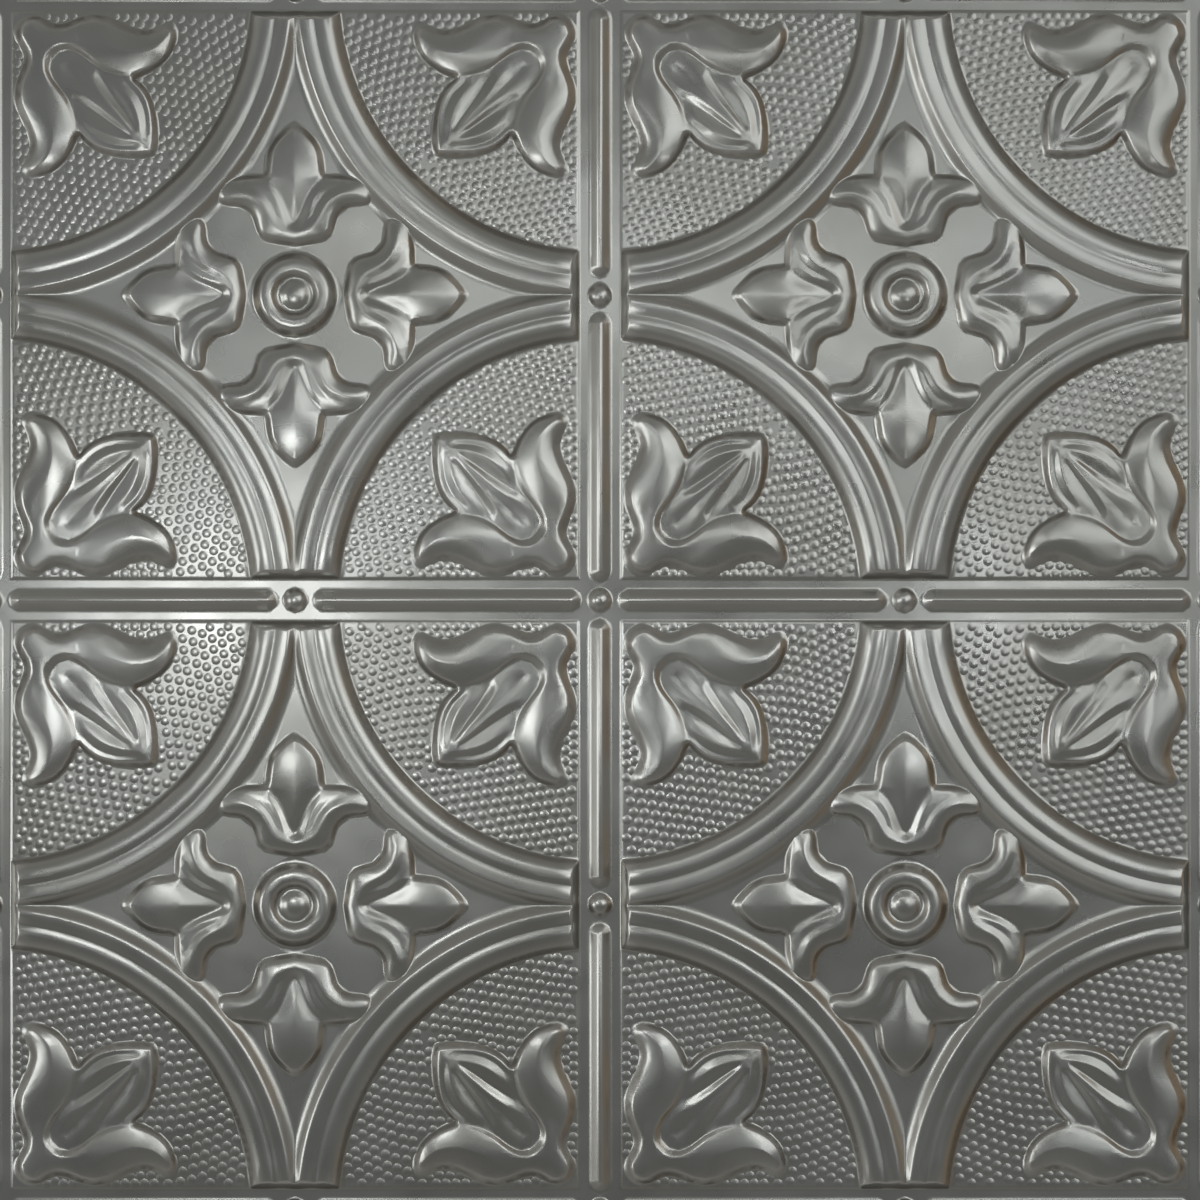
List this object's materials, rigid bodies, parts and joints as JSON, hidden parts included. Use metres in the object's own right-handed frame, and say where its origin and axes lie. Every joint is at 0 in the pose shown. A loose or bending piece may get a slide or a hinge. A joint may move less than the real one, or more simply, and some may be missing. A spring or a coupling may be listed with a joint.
{
  "type": "pressed tin ceiling tile",
  "caption": "Square pressed sheet-metal ceiling tile with stippled arcs, corner fleurs, star rosettes and beaded rails in relief.",
  "frame": {"origin": "middle of the tile in plan, on the plane of the undersides of its rails", "axes": "+Z out of the decorated face, +X and +Y along two sides"},
  "size_m": [0.6224, 0.6224, 0.0081],
  "materials": {
    "sheet": "satin"
  },
  "bodies": {
    "root": {"pressed_tile": "sheet"}
  },
  "joints": []
}
